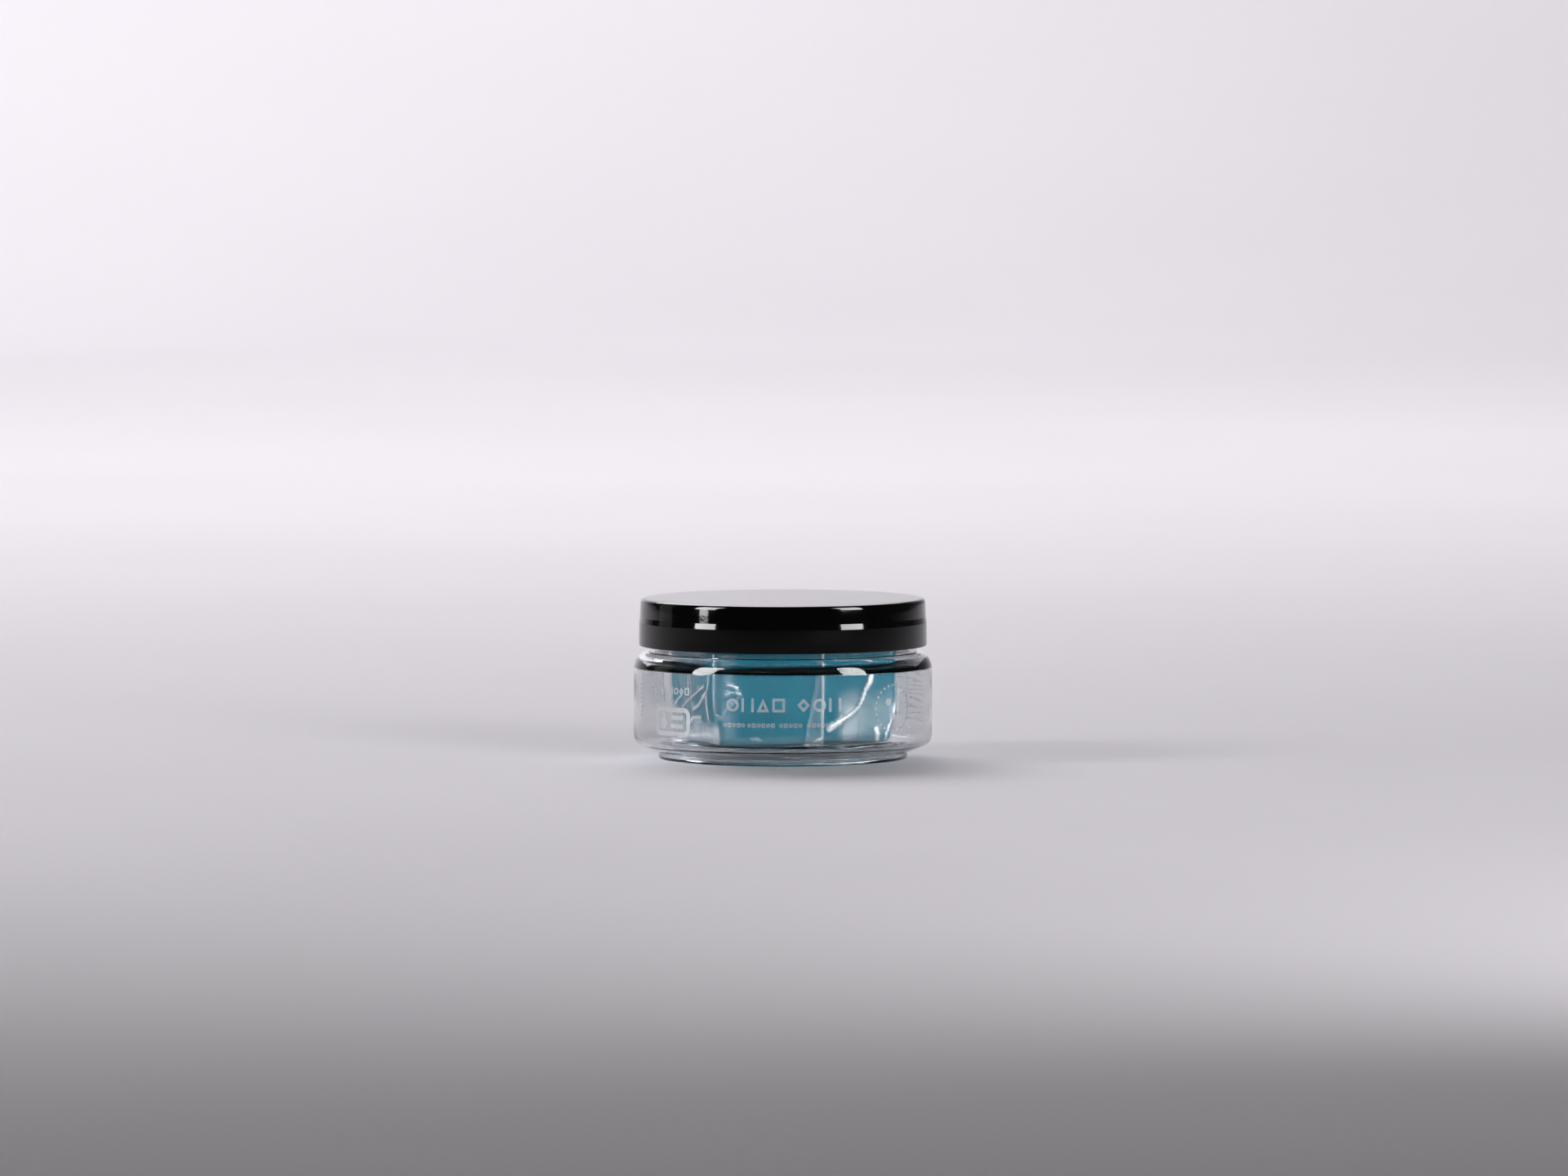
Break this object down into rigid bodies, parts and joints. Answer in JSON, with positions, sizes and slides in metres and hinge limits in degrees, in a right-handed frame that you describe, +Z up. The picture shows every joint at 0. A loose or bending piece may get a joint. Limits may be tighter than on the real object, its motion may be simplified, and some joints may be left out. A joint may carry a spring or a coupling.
{
  "type": "clay bar in a screw-top jar",
  "caption": "Block of car-detailing clay in a clear film wrapper, inside a low clear plastic jar with a glossy black screw lid and white print.",
  "frame": {"origin": "on the surface that the jar stands on, at the jar's axis", "axes": "+Z up along the jar's axis, -Y towards the printed front, +X to the right seen from the front"},
  "size_m": [0.092, 0.0921, 0.0496],
  "materials": {
    "clear_pet": "clear",
    "lid_black": "gloss",
    "liner_foam": "matte",
    "clay_teal": "satin",
    "film_clear": "clear",
    "ink_white": "matte",
    "ink_dark": "matte"
  },
  "bodies": {
    "jar": {"jar": "clear_pet", "title_print": "ink_white", "subtitle_print": "ink_white", "front_word_print": "ink_white", "front_emblem_print": "ink_white", "side_badge_print": "ink_white", "side_text_print": "ink_white", "back_stripes_print": "ink_white", "back_text_print": "ink_white", "batch_mark_print": "ink_dark"},
    "liner": {"lid_liner": "liner_foam"},
    "lid": {"lid": "lid_black"},
    "bar": {"clay_bar": "clay_teal", "film_wrapper": "film_clear"}
  },
  "joints": [
    {"name": "lid_lift", "type": "slide", "parent": "jar", "child": "liner", "axis": [0, 0, 1], "range_m": [0, 0.0201]},
    {"name": "lid_turn", "type": "hinge", "parent": "liner", "child": "lid", "pos_m": [0, 0, 0], "axis": [0, 0, 1], "range_deg": [0, 1440]},
    {"name": "bar_lift", "type": "slide", "parent": "jar", "child": "bar", "axis": [0, 0, 1], "range_m": [0, 0.009]}
  ],
  "couplings": [
    {"joint": "lid_lift", "follows": "lid_turn", "m_per_rad": 0.00079577}
  ]
}
